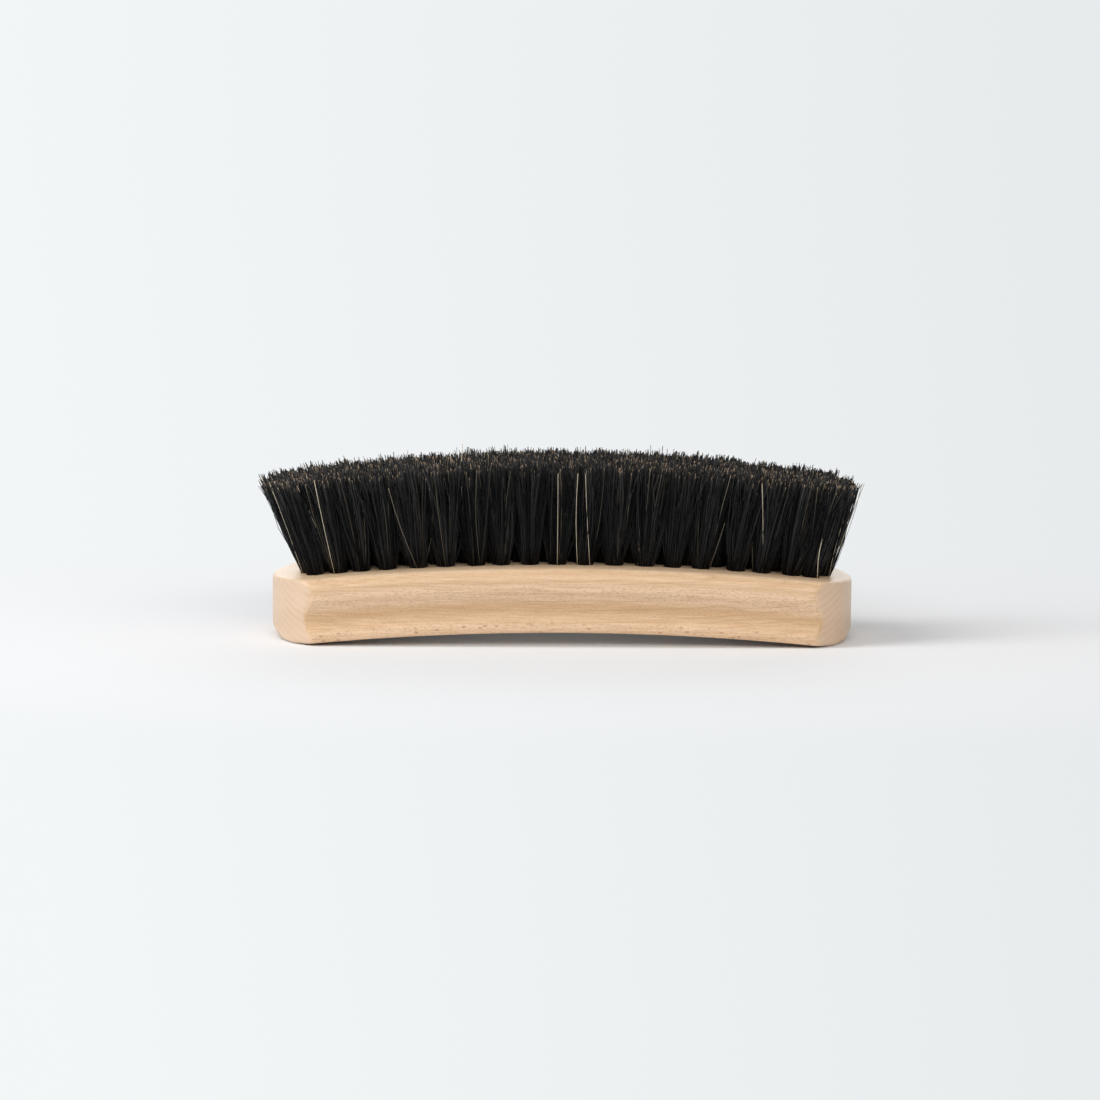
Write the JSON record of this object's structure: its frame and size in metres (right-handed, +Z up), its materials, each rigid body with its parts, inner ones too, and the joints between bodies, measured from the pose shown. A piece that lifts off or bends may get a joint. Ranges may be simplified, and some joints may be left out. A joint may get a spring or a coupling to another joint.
{
  "type": "shoe shine brush",
  "caption": "Hand brush for polishing shoes: an arched hardwood block with finger grooves along its sides, filled with staggered tufts of dark horsehair that fan outwards.",
  "frame": {"origin": "middle of the bottom of the brush as it lies on its back, on the surface under it", "axes": "+X along the block, +Y across it, +Z up from the back of the block through the bristles"},
  "size_m": [0.1812, 0.05, 0.0526],
  "materials": {
    "beech": "sanded pale hardwood, satin",
    "horsehair": "black-brown horsehair with a few pale hairs",
    "staple_wire": "bright flat wire"
  },
  "bodies": {
    "root": {"block": "beech", "tufts_column_01": "horsehair", "tufts_column_02": "horsehair", "tufts_column_03": "horsehair", "tufts_column_04": "horsehair", "tufts_column_05": "horsehair", "tufts_column_06": "horsehair", "tufts_column_07": "horsehair", "tufts_column_08": "horsehair", "tufts_column_09": "horsehair", "tufts_column_10": "horsehair", "tufts_column_11": "horsehair", "tufts_column_12": "horsehair", "tufts_column_13": "horsehair", "tufts_column_14": "horsehair", "tufts_column_15": "horsehair", "tufts_column_16": "horsehair", "tufts_column_17": "horsehair", "tufts_column_18": "horsehair", "tufts_column_19": "horsehair", "tufts_column_20": "horsehair", "tufts_column_21": "horsehair", "tufts_column_22": "horsehair", "tufts_column_23": "horsehair", "tufts_column_24": "horsehair", "tufts_column_25": "horsehair", "tufts_column_26": "horsehair", "tufts_column_27": "horsehair", "tufts_column_28": "horsehair", "tufts_column_29": "horsehair", "tufts_column_30": "horsehair", "tufts_column_31": "horsehair", "tufts_column_32": "horsehair", "tufts_column_33": "horsehair", "tufts_column_34": "horsehair", "tufts_column_35": "horsehair", "tufts_column_36": "horsehair", "tufts_column_37": "horsehair", "tufts_column_38": "horsehair", "tufts_column_39": "horsehair", "staples_row_1": "staple_wire", "staples_row_2": "staple_wire", "staples_row_3": "staple_wire", "staples_row_4": "staple_wire", "staples_row_5": "staple_wire"}
  },
  "joints": []
}
